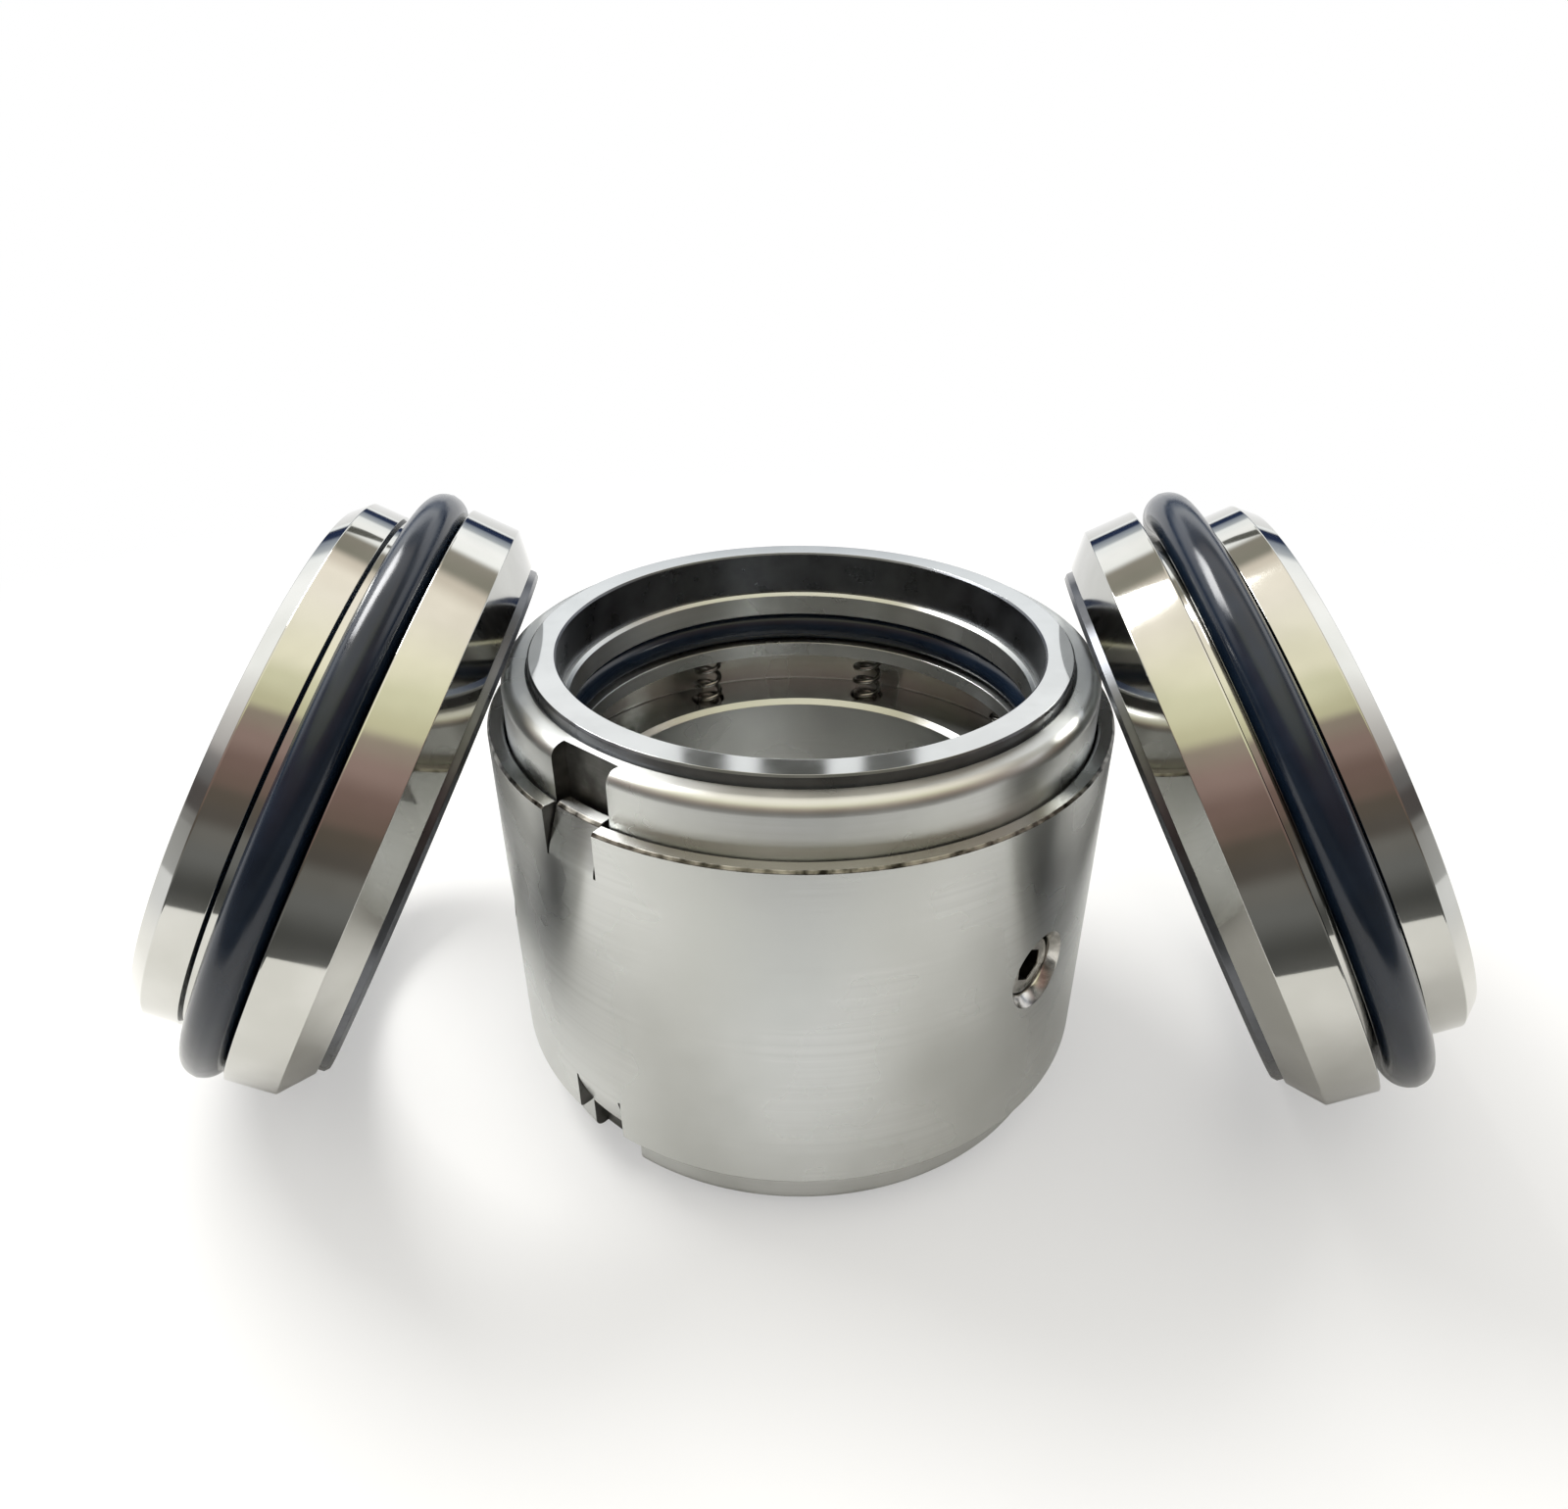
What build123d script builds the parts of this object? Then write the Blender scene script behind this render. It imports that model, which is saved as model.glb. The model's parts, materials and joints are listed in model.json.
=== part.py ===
import os
from math import cos, degrees, hypot, pi, radians, sin, sqrt

from build123d import *

os.makedirs("parts", exist_ok=True)

# ----------------------------------------------------------------------------
# Driving dimensions, mm.  The rotary unit stands upright on its lower sealing
# face with its axis on Z, and a seat leans on it from either side.
# ----------------------------------------------------------------------------
shaft_d = 60.0
shaft_clearance = 0.05          # radial, web bore on the shaft

# Drum: a sleeve with a web at mid length that takes the shaft and set screws.
section_height = 10.5           # radial, shaft to the outside of the drum
drum_length = 47.0
drum_wall = 2.05
web_thickness = 13.0
rim_chamfer = 0.3
web_chamfer = 0.8

# Tabs cut in each rim of the drum and pressed inwards, to drive the face ring.
tab_count = 2
tab_azimuth = 231.0
tab_width = 7.4
tab_height = 6.2
tab_press = 1.85                # how far the top of a tab goes in
tab_kerf = 0.35                 # saw cut on either side of a tab

# Face rings: a holder that slides in the drum, and a hard insert fitted in it.
slide_clearance = 0.3           # radial, holder and thrust ring in the drum
shoulder_height = 6.45          # holder above the drum's rim
shoulder_radius = 1.5
nose_height = 1.4               # insert above the holder's shoulder
face_clearance = 1.1            # radial, insert over the shaft
holder_wall = 3.45              # radial, holder outside the insert
insert_depth = 4.8              # seat of the insert below the shoulder
insert_chamfer = 0.25
land_clearance = 0.2            # radial, holder and thrust ring on the shaft
land_length = 3.6               # land between the insert's seat and the O-ring
slot_width = 8.8
slot_floor_gap = 0.7            # floor of a slot above the root of its tab
slot_clearance = 0.7            # radial, behind the tip of a tab

# Shaft O-rings and the thrust rings behind them.
shaft_oring_cord = 4.8
groove_clearance = 0.05         # O-ring to the wall of its groove
thrust_thickness = 2.2

# Springs, in blind pockets of the web.
spring_count = 8
spring_azimuth = 26.2
spring_d = 4.8
wire_d = 0.8
spring_turns = 4.5
spring_runs = 8                 # straight runs in a turn
pocket_clearance = 0.2          # radial
pocket_depth = 1.6

# Set screws, radial through the web.
screw_count = 3
screw_azimuth = 316.0
screw_d = 8.0
screw_inset = 1.5               # socket end below the drum's surface
screw_point_gap = 1.35          # point short of the shaft bore
screw_sink_d = 10.4
thread_clearance = 0.05
socket_flats = 4.0
socket_depth = 4.0
screw_point_chamfer = 1.2

# Seats: sizes run along the seat's own axis from its lapped face.
seat_clearance = 1.3            # radial, over the shaft
seat_face_width = 6.0           # radial, insert of the seat
seat_nose_height = 1.4
seat_nose_chamfer = 0.5
seat_insert_depth = 4.8
tail_wall = 5.6
tail_end = 25.1
tail_chamfer = 2.0
head_step = 4.7                 # radial, head over the tail
head_end = 11.4                 # back of the head
head_chamfer = 3.7              # radial, at the face end of the head
head_chamfer_end = 4.85
seat_groove_depth = 0.45
seat_groove_width = 7.0
seat_oring_cord = 5.8
seat_oring_gap = {"left": 0.1, "right": 1.1}   # behind the head
pin_slot_width = 4.2
pin_slot_depth = 3.8
edge_break = 0.3

# How the seats lean.
seat_tilt = 28.0
seat_yaw = 4.2
lean_clearance = 0.3            # bore edge of a seat's face to the shoulder

# ----------------------------------------------------------------------------
# Sizes that follow from them
# ----------------------------------------------------------------------------
shaft_r = shaft_d / 2
bore_r = shaft_r + shaft_clearance
drum_r = shaft_r + section_height
drum_bore_r = drum_r - drum_wall
ring_r = drum_bore_r - slide_clearance
land_r = shaft_r + land_clearance
face_bore_r = shaft_r + face_clearance
face_r = ring_r - holder_wall
nose_top = shoulder_height + nose_height
rim_low = nose_top
rim_high = rim_low + drum_length
mid_height = (rim_low + rim_high) / 2
web_low = mid_height - web_thickness / 2
web_high = mid_height + web_thickness / 2
web_below_rim = (drum_length - web_thickness) / 2

insert_seat = shoulder_height - insert_depth
land_end = insert_seat - land_length
shaft_oring_r = bore_r + shaft_oring_cord / 2    # as the shaft holds it
shaft_groove_r = shaft_oring_r + shaft_oring_cord / 2 + groove_clearance
holder_end = land_end - shaft_oring_cord
thrust_end = holder_end - thrust_thickness
spring_length = web_below_rim + pocket_depth + thrust_end
spring_circle_r = (bore_r + drum_bore_r) / 2
slot_floor = slot_floor_gap - tab_height
slot_wall = drum_bore_r - tab_press - slot_clearance

screw_length = drum_r - screw_inset - bore_r - screw_point_gap

seat_bore_r = shaft_r + seat_clearance
seat_nose_r = seat_bore_r + seat_face_width
tail_r = seat_bore_r + tail_wall
head_r = tail_r + head_step
head_face_r = head_r - head_chamfer
seat_groove_r = tail_r - seat_groove_depth
seat_oring_r = seat_groove_r + seat_oring_cord / 2

# The two ends of the drum: height of the rim and the way that points out.
ends = {"upper": (rim_high, 1), "lower": (rim_low, -1)}


def end_section(end, azimuth=0.0):
    """Plane through the axis: X is the radius, Y the height outside the rim."""
    rim, way = ends[end]
    a = radians(azimuth)
    radial = Vector(cos(a), sin(a), 0)
    return Plane(origin=(0, 0, rim), x_dir=radial, z_dir=radial.cross(Vector(0, 0, way)))


def end_level(end, height):
    """Plane across the axis at a height outside the rim, facing outwards."""
    rim, way = ends[end]
    return Plane(origin=(0, 0, rim + way * height), z_dir=(0, 0, way))


def azimuths(start, count):
    return [start + 360 * i / count for i in range(count)]


def radial_plane(azimuth, radius, height):
    """Plane that faces outwards at a radius from the axis, with X upright."""
    a = radians(azimuth)
    outward = Vector(cos(a), sin(a), 0)
    return Plane(origin=outward * radius + Vector(0, 0, height), x_dir=(0, 0, 1), z_dir=outward)


def save(part, label):
    part.label = label
    export_step(part, f"parts/{label}.step")


# ----------------------------------------------------------------------------
# Drum
# ----------------------------------------------------------------------------
tab_arc = degrees(tab_width / drum_r)
kerf_arc = degrees(tab_kerf / drum_r)

with BuildPart() as drum:
    with BuildSketch(Plane.XZ):
        with BuildLine():
            Polyline(
                (bore_r, web_low),
                (bore_r, web_high),
                (drum_bore_r, web_high),
                (drum_bore_r, rim_high),
                (drum_r, rim_high),
                (drum_r, rim_low),
                (drum_bore_r, rim_low),
                (drum_bore_r, web_low),
                close=True,
            )
        make_face()
    revolve(axis=Axis.Z)
    rims = drum.faces().filter_by(GeomType.PLANE).sort_by(Axis.Z)
    chamfer((rims[0].edges() + rims[-1].edges()), rim_chamfer)
    bore_wall = min(drum.faces().filter_by(GeomType.CYLINDER), key=lambda face: face.radius)
    chamfer(bore_wall.edges().filter_by(GeomType.CIRCLE), web_chamfer)

    for end in ends:
        # the notch, then the tab in it, leaning in from its root
        for azimuth in azimuths(tab_azimuth, tab_count):
            start = azimuth - tab_arc / 2 - kerf_arc
            with BuildSketch(end_section(end, start)):
                with Locations(((drum_bore_r + drum_r) / 2, -tab_height / 2)):
                    Rectangle(2 * drum_wall, tab_height)
            revolve(axis=Axis.Z, revolution_arc=tab_arc + 2 * kerf_arc, mode=Mode.SUBTRACT)
            with BuildSketch(end_section(end, azimuth - tab_arc / 2)):
                with BuildLine():
                    Polyline(
                        (drum_bore_r, -tab_height),
                        (drum_r, -tab_height),
                        (drum_r - tab_press, 0),
                        (drum_bore_r - tab_press, 0),
                        close=True,
                    )
                make_face()
            revolve(axis=Axis.Z, revolution_arc=tab_arc)
        # blind pockets for the springs
        with BuildSketch(end_level(end, -web_below_rim)):
            with PolarLocations(spring_circle_r, spring_count, start_angle=spring_azimuth * ends[end][1]):
                Circle(spring_d / 2 + pocket_clearance)
        extrude(amount=-pocket_depth, mode=Mode.SUBTRACT)

    for azimuth in azimuths(screw_azimuth, screw_count):
        with Locations(radial_plane(azimuth, drum_r, mid_height)):
            CounterSinkHole(
                radius=screw_d / 2 + thread_clearance,
                counter_sink_radius=screw_sink_d / 2,
                depth=drum_r - shaft_r / 2,
            )
save(drum.part, "retainer_drum")

# ----------------------------------------------------------------------------
# Set screws: socket end outwards, chamfered point towards the shaft
# ----------------------------------------------------------------------------
with BuildPart() as set_screws:
    for azimuth in azimuths(screw_azimuth, screw_count):
        socket_plane = radial_plane(azimuth, drum_r - screw_inset, mid_height)
        point_plane = radial_plane(azimuth, drum_r - screw_inset - screw_length, mid_height)
        with BuildSketch(point_plane):
            Circle(screw_d / 2 - screw_point_chamfer)
        extrude(amount=screw_point_chamfer, taper=-45)
        with BuildSketch(point_plane.offset(screw_point_chamfer)):
            Circle(screw_d / 2)
        extrude(amount=screw_length - screw_point_chamfer)
        with BuildSketch(socket_plane):
            RegularPolygon(socket_flats / 2, 6, major_radius=False)
        extrude(amount=-socket_depth, mode=Mode.SUBTRACT)
save(set_screws.part, "set_screws")

# ----------------------------------------------------------------------------
# Face rings, O-rings and thrust rings of both ends
# ----------------------------------------------------------------------------
for end in ends:
    with BuildPart() as holder:
        with BuildSketch(end_section(end)):
            with BuildLine():
                Polyline(
                    (land_r, land_end),
                    (land_r, insert_seat),
                    (face_r, insert_seat),
                    (face_r, shoulder_height),
                    (ring_r, shoulder_height),
                    (ring_r, holder_end),
                    (shaft_groove_r, holder_end),
                    (shaft_groove_r, land_end),
                    close=True,
                )
            make_face()
        revolve(axis=Axis.Z)
        top = holder.faces().filter_by(GeomType.PLANE).sort_by(Axis.Z)[-1 if end == "upper" else 0]
        fillet(top.edges().sort_by(SortBy.LENGTH)[-1], shoulder_radius)
        with BuildSketch(end_level(end, slot_floor)):
            with PolarLocations(slot_wall + drum_r / 2, tab_count, start_angle=tab_azimuth * ends[end][1]):
                Rectangle(drum_r, slot_width)
        extrude(amount=shoulder_height - slot_floor, mode=Mode.SUBTRACT)
    save(holder.part, f"{end}_face_holder")

    with BuildPart() as insert:
        with BuildSketch(end_section(end)):
            with BuildLine():
                Polyline(
                    (face_bore_r, insert_seat),
                    (face_r, insert_seat),
                    (face_r, nose_top),
                    (face_bore_r, nose_top),
                    close=True,
                )
            make_face()
        revolve(axis=Axis.Z)
        chamfer(insert.edges().filter_by(GeomType.CIRCLE), insert_chamfer)
    save(insert.part, f"{end}_face_insert")

    with BuildPart() as shaft_oring:
        with BuildSketch(end_section(end)):
            with Locations((shaft_oring_r, land_end - shaft_oring_cord / 2)):
                Circle(shaft_oring_cord / 2)
        revolve(axis=Axis.Z)
    save(shaft_oring.part, f"{end}_shaft_oring")

    with BuildPart() as thrust_ring:
        with BuildSketch(end_level(end, thrust_end)):
            Circle(ring_r)
            Circle(land_r, mode=Mode.SUBTRACT)
        extrude(amount=thrust_thickness)
        chamfer(thrust_ring.edges().filter_by(GeomType.CIRCLE).sort_by(SortBy.RADIUS)[-2:], edge_break)
    save(thrust_ring.part, f"{end}_thrust_ring")

# ----------------------------------------------------------------------------
# Springs: a coil with both ends ground flat.  Straight runs and a square wire
# of the round one's area keep the facets of sixteen springs few.
# ----------------------------------------------------------------------------
coil_r = (spring_d - wire_d) / 2
wire_side = wire_d * sqrt(pi) / 2

run_count = round(spring_turns * spring_runs)
coil_points = []
for step in range(run_count + 1):
    turn = 2 * pi * step / spring_runs
    coil_points.append((coil_r * cos(turn), coil_r * sin(turn), spring_length * step / run_count))

with BuildPart() as spring:
    with BuildLine() as wire_line:
        Polyline(coil_points)
    with BuildSketch(Plane(origin=wire_line.line @ 0, x_dir=(1, 0, 0), z_dir=wire_line.line % 0)):
        Rectangle(wire_side, wire_side)
    sweep(transition=Transition.RIGHT)
    with BuildSketch(Plane.XY):
        Circle(spring_d)
    extrude(amount=spring_length, mode=Mode.INTERSECT)

for end in ends:
    pocket_floor = end_level(end, -web_below_rim - pocket_depth)
    for number, azimuth in enumerate(azimuths(spring_azimuth, spring_count), start=1):
        a = radians(azimuth)
        foot = Vector(cos(a), sin(a), 0) * spring_circle_r + pocket_floor.origin
        place = Plane(origin=foot, z_dir=pocket_floor.z_dir).location
        save(place * spring.part, f"{end}_spring_{number}")

# ----------------------------------------------------------------------------
# Seats: turned bodies that stand on the front edge of their heads and lean
# with the bore edge of the lapped face on the upper holder's rounded shoulder
# ----------------------------------------------------------------------------
tilt = radians(seat_tilt)
yaw = radians(seat_yaw)
face_centre_z = head_r * cos(tilt) - head_chamfer_end * sin(tilt)
shoulder_z = rim_high + shoulder_height


def seat_frame(side, face_centre_x):
    """Where a seat stands: Z is its axis, away from the drum, and X points to the front."""
    way = {"left": -1, "right": 1}[side]
    axis = Vector(way * cos(tilt) * cos(yaw), -cos(tilt) * sin(yaw), sin(tilt))
    front = Vector(-way * sin(yaw), -cos(yaw), 0)
    centre_y = cos(tilt) * sin(yaw) * (head_end + seat_oring_cord / 2)
    centre = Vector(way * face_centre_x, centre_y, face_centre_z)
    return Plane(origin=centre, x_dir=front, z_dir=axis)


def lean_gap(face_centre_x):
    """Distance from the bore edge of a seat's face to the rounded shoulder."""
    frame = seat_frame("right", face_centre_x)
    edge_r = seat_bore_r + edge_break
    gaps = []
    for step in range(360):
        turn = radians(step)
        point = frame.origin + frame.x_dir * (edge_r * cos(turn)) + frame.y_dir * (edge_r * sin(turn))
        out = hypot(point.X, point.Y) - (ring_r - shoulder_radius)
        above = point.Z - (shoulder_z - shoulder_radius)
        inside = min(max(out, above), 0)
        gaps.append(hypot(max(out, 0), max(above, 0)) + inside - shoulder_radius)
    return min(gaps)


# halve the range of places until the gap is the lean clearance
near = ring_r
far = 2 * drum_r
for _ in range(40):
    face_centre_x = (near + far) / 2
    if lean_gap(face_centre_x) < lean_clearance:
        near = face_centre_x
    else:
        far = face_centre_x

insert_back = seat_nose_height + seat_insert_depth

with BuildPart() as seat_body:
    with BuildSketch(Plane.XZ):
        with BuildLine():
            Polyline(
                (seat_bore_r, insert_back),
                (seat_nose_r, insert_back),
                (seat_nose_r, seat_nose_height),
                (head_face_r, seat_nose_height),
                (head_r, head_chamfer_end),
                (head_r, head_end),
                (seat_groove_r, head_end),
                (seat_groove_r, head_end + seat_groove_width),
                (tail_r, head_end + seat_groove_width + seat_groove_depth),
                (tail_r, tail_end - tail_chamfer),
                (tail_r - tail_chamfer, tail_end),
                (seat_bore_r, tail_end),
                close=True,
            )
        make_face()
    revolve(axis=Axis.Z)
    # slot for an anti-rotation pin, in the end of the tail at the back
    with BuildSketch(Plane.XY.offset(tail_end)):
        with Locations((-tail_r, 0)):
            Rectangle(2 * tail_wall, pin_slot_width)
    extrude(amount=-pin_slot_depth, mode=Mode.SUBTRACT)

with BuildPart() as seat_insert:
    with BuildSketch(Plane.XZ):
        with BuildLine():
            Polyline(
                (seat_bore_r, edge_break),
                (seat_bore_r + edge_break, 0),
                (seat_nose_r - seat_nose_chamfer, 0),
                (seat_nose_r, seat_nose_chamfer),
                (seat_nose_r, insert_back),
                (seat_bore_r, insert_back),
                close=True,
            )
        make_face()
    revolve(axis=Axis.Z)

for side, oring_gap in seat_oring_gap.items():
    with BuildPart() as seat_oring:
        with BuildSketch(Plane.XZ):
            with Locations((seat_oring_r, head_end + oring_gap + seat_oring_cord / 2)):
                Circle(seat_oring_cord / 2)
        revolve(axis=Axis.Z)
    place = seat_frame(side, face_centre_x).location
    save(place * seat_body.part, f"{side}_seat_body")
    save(place * seat_insert.part, f"{side}_seat_insert")
    save(place * seat_oring.part, f"{side}_seat_oring")

print(f"face centre of a seat at x {face_centre_x:.2f}, z {face_centre_z:.2f}")
print(f"rotary unit {rim_high + nose_top:.2f} high, spring {spring_length:.2f} long")
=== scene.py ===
import json

import bpy
import numpy as np
from mathutils import Euler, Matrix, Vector


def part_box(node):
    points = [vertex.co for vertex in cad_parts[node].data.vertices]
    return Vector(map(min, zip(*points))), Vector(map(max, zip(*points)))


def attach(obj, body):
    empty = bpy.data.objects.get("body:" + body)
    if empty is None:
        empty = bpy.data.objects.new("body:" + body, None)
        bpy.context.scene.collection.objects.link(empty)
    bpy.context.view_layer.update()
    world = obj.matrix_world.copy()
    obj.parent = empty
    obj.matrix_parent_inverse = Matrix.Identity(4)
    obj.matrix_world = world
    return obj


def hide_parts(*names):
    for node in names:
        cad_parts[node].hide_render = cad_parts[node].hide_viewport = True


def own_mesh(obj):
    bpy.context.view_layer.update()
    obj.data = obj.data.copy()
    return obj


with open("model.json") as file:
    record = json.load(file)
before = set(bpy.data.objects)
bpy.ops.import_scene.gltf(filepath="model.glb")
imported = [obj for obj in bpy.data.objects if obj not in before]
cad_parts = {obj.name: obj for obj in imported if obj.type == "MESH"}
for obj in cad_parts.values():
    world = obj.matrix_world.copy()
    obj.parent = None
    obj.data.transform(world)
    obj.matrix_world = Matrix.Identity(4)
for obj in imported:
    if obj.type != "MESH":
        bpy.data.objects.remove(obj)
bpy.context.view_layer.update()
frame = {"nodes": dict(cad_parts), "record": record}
print("frame loaded")

mm = 0.001      # lengths below are in mm until a mesh is made, unless a note says metres


def nodeBox(node):
    # lowest and highest corner of a CAD node, in mm
    low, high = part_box(node)
    return np.array(low) / mm, np.array(high) / mm


def roundedLoop(corners, steps=4, support=0.06):
    # A closed outline in (radius, height). Each corner is (r, z, bend): its arc is centre + bend (cos a,
    # sin a), tangent to both sides, with one more point just beyond each end. A bend of 0 keeps the point.
    corners = [np.array(corner, float) for corner in corners]
    points = []
    for k, corner in enumerate(corners):
        here, bend = corner[:2], corner[2]
        if bend == 0:
            points.append(here)
            continue
        back = corners[k - 1][:2] - here
        ahead = corners[(k + 1) % len(corners)][:2] - here
        back, ahead = back / np.linalg.norm(back), ahead / np.linalg.norm(ahead)
        half = np.arccos(np.clip(back @ ahead, -1, 1)) / 2
        reach = bend / np.tan(half)
        middle = (back + ahead) / np.linalg.norm(back + ahead)
        centre = here + middle * bend / np.sin(half)
        start, end = here + back * reach - centre, here + ahead * reach - centre
        turn = np.arctan2(start[0] * end[1] - start[1] * end[0], start @ end)
        angles = turn * np.linspace(0, 1, steps + 1)
        cosA, sinA = np.cos(angles), np.sin(angles)
        arc = np.stack([start[0] * cosA - start[1] * sinA, start[0] * sinA + start[1] * cosA], 1)
        points.append(here + back * (reach + support))
        points.extend(centre + arc)
        points.append(here + ahead * (reach + support))
    return np.array(points)


def rowAt(outline, r, z):
    # index of the outline's point nearest to (r, z)
    return int(np.argmin(np.hypot(outline[:, 0] - r, outline[:, 1] - z)))


def turnFrom(azimuths, azimuth):
    # signed angle from one azimuth to others, in degrees from -180 to 180
    return (azimuths - azimuth + 180) % 360 - 180


def columns(count, extras=()):
    # azimuths in degrees: an even division plus exact values, without the even ones that lie close to them
    even = np.arange(count) * 360.0 / count
    extras = np.unique(np.round(np.array(extras, float) % 360, 6))
    if len(extras):
        gap = np.abs(turnFrom(even[:, None], extras[None])).min(1)
        even = even[gap > 0.35 * 360.0 / count]
    return np.sort(np.concatenate([even, extras]))


def outAndSide(azimuth):
    # unit vectors outwards and sideways at an azimuth
    a = np.radians(azimuth)
    return np.array([np.cos(a), np.sin(a)]), np.array([-np.sin(a), np.cos(a)])


def revolve(outline, azimuths):
    # point (i, j) = (r_i cos a_ij, r_i sin a_ij, z_i)
    r, z = outline[:, :1], outline[:, 1:]
    a = np.radians(np.broadcast_to(azimuths, (len(outline), np.shape(azimuths)[-1])))
    return np.stack([r * np.cos(a), r * np.sin(a), z + 0 * a], -1)


def flatSides(outline, azimuths, centre, edge, edgeRadius, fadeAngle):
    # How far each column turns at each radius so that the sides of a slot are parallel planes. In the slot
    # r sin(a') = R sin(a), where R is the radius at which its edges are at +-edge. The turn fades beyond.
    off = turnFrom(azimuths, centre)
    near = np.clip(off, -edge, edge)
    target = np.degrees(np.arcsin(edgeRadius * np.sin(np.radians(near)) / outline[:, :1]))
    fade = np.clip(1 - (np.abs(off) - edge) / fadeAngle, 0, 1)
    return fade * (target - near)


class Surface:
    # A turned surface: a grid of outline points by azimuths. Blocks of its cells can be cut and replaced.
    def __init__(self, outline, azimuths, points=None):
        self.outline, self.azimuths = outline, np.asarray(azimuths)
        self.points = revolve(outline, azimuths) if points is None else points
        self.rows, self.cols = self.points.shape[:2]
        self.keep = np.ones((self.rows, self.cols), bool)
        self.marks = np.zeros((self.rows, self.cols), int)      # material index of each cell
        self.extra = []                                         # further vertices
        self.polygons = []                                      # (corner indices, material index)
        self.total = self.rows * self.cols

    def index(self, row, col):
        return (row % self.rows) * self.cols + col % self.cols

    def column(self, azimuth):
        return int(np.argmin(np.abs(turnFrom(self.azimuths, azimuth))))

    def add(self, points):
        first = self.total
        self.extra.append(np.asarray(points, float).reshape(-1, 3))
        self.total += len(self.extra[-1])
        return np.arange(first, self.total)

    def cut(self, row0, row1, col0, col1):
        rows, cols = np.arange(row0, row1) % self.rows, np.arange(col0, col1) % self.cols
        self.keep[np.ix_(rows, cols)] = False

    def opening(self, row0, row1, col0, col1):
        # cuts a block of cells, and gives the corner indices round it in the order in which its cells run
        self.cut(row0, row1, col0, col1)
        rows, cols = np.arange(row0, row1), np.arange(col0, col1)
        return np.concatenate([self.index(row0, cols), self.index(rows, col1),
                               self.index(row1, cols[::-1] + 1), self.index(rows[::-1] + 1, col0)])

    def spots(self, indices):
        return self.points.reshape(-1, 3)[indices]

    def band(self, first, second, mark=0):
        # quads between two closed rings of vertices
        quads = np.stack([first, np.roll(first, -1), np.roll(second, -1), second], 1)
        self.polygons += [(list(quad), mark) for quad in quads]

    def bands(self, first, rings, mark=0):
        # strips from one closed ring of vertices through rings of points, to the last of them
        for points in rings:
            ring = self.add(points)
            self.band(first, ring, mark)
            first = ring
        return first

    def notch(self, row0, row1, col0, col1, mark=0):
        # a gap sawn right through the wall: two flat sides and a floor between the rows
        self.cut(row0, row1, col0, col1)
        rows, cols = np.arange(row0, row1 + 1), np.arange(col0, col1 + 1)
        self.polygons.append((list(self.index(rows[::-1], col0)), mark))
        self.polygons.append((list(self.index(rows, col1)), mark))
        self.polygons.append((list(self.index(row0, cols)) + list(self.index(row1, cols[::-1])), mark))

    def pocket(self, row0, row1, col0, col1, inner, mark=0):
        # a slot milled into the wall: floor, back wall and two flat sides, with the line of points where
        # the floor meets the back wall
        self.cut(row0, row1, col0, col1)
        rows, cols = np.arange(row0, row1 + 1), np.arange(col0, col1 + 1)
        line = self.add(inner)
        low, high = self.index(row0, cols), self.index(row1, cols)
        floor = np.stack([low[:-1], low[1:], line[1:], line[:-1]], 1)
        back = np.stack([line[:-1], line[1:], high[1:], high[:-1]], 1)
        self.polygons += [(list(quad), mark) for quad in np.stack([floor, back], 1).reshape(-1, 4)]
        self.polygons.append((list(self.index(rows[::-1], col0)) + [line[0]], mark))
        self.polygons.append((list(self.index(rows, col1)) + [line[-1]], mark))


def newPiece(name, points, faces, uv=None, marks=None, sharpAngle=None):
    # An object with its mesh in metres. points and uv are in mm, marks are material indices.
    mesh = bpy.data.meshes.new(name)
    mesh.from_pydata(points * mm, [], faces)
    if uv is not None:
        layer = mesh.uv_layers.new(name="turned")
        layer.uv.foreach_set("vector", (uv * mm).astype(np.float32).ravel())
    if marks is not None:
        mesh.polygons.foreach_set("material_index", marks.astype(np.int32))
    mesh.validate()
    if sharpAngle is not None:
        mesh.shade_smooth()
        mesh.set_sharp_from_angle(angle=np.radians(sharpAngle))
    mesh.update()
    piece = bpy.data.objects.new(name, mesh)
    bpy.context.scene.collection.objects.link(piece)
    return piece


def turnedPiece(name, surface, turn=None, origin=None):
    # A Surface as an object. Its map is (distance round, distance along the outline), and turn and origin
    # place it: point' = origin + turn . point.
    points = np.concatenate([surface.points.reshape(-1, 3)] + surface.extra)
    row, col = np.nonzero(surface.keep)
    cornerRow, cornerCol = row[:, None] + (0, 0, 1, 1), col[:, None] + (0, 1, 1, 0)
    steps = np.linalg.norm(np.diff(np.vstack([surface.outline, surface.outline[:1]]), axis=0), axis=1)
    along = np.concatenate([[0], np.cumsum(steps)])
    around = np.radians(np.append(surface.azimuths, surface.azimuths[0] + 360)) * surface.outline[:, 0].max()
    uv = [np.stack([around[cornerCol], along[cornerRow]], -1).reshape(-1, 2)]
    marks = [surface.marks[row, col]]
    faces = surface.index(cornerRow, cornerCol).tolist()
    if surface.polygons:
        corners = np.concatenate([polygon for polygon, _ in surface.polygons])
        sizes = np.array([len(polygon) for polygon, _ in surface.polygons])
        x, y, z = points[corners].T
        first = np.repeat(np.cumsum(sizes) - sizes, sizes)
        angle, r = np.arctan2(y, x), np.hypot(x, y)
        angle = angle[first] + (angle - angle[first] + np.pi) % (2 * np.pi) - np.pi
        uv.append(np.stack([angle * r, z + r], -1))
        marks.append(np.array([mark for _, mark in surface.polygons]))
        faces += [list(map(int, polygon)) for polygon, _ in surface.polygons]
    if turn is not None:
        points = points @ np.array(turn).T + origin
    return newPiece(name, points, faces, np.concatenate(uv), np.concatenate(marks), 28)


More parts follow.
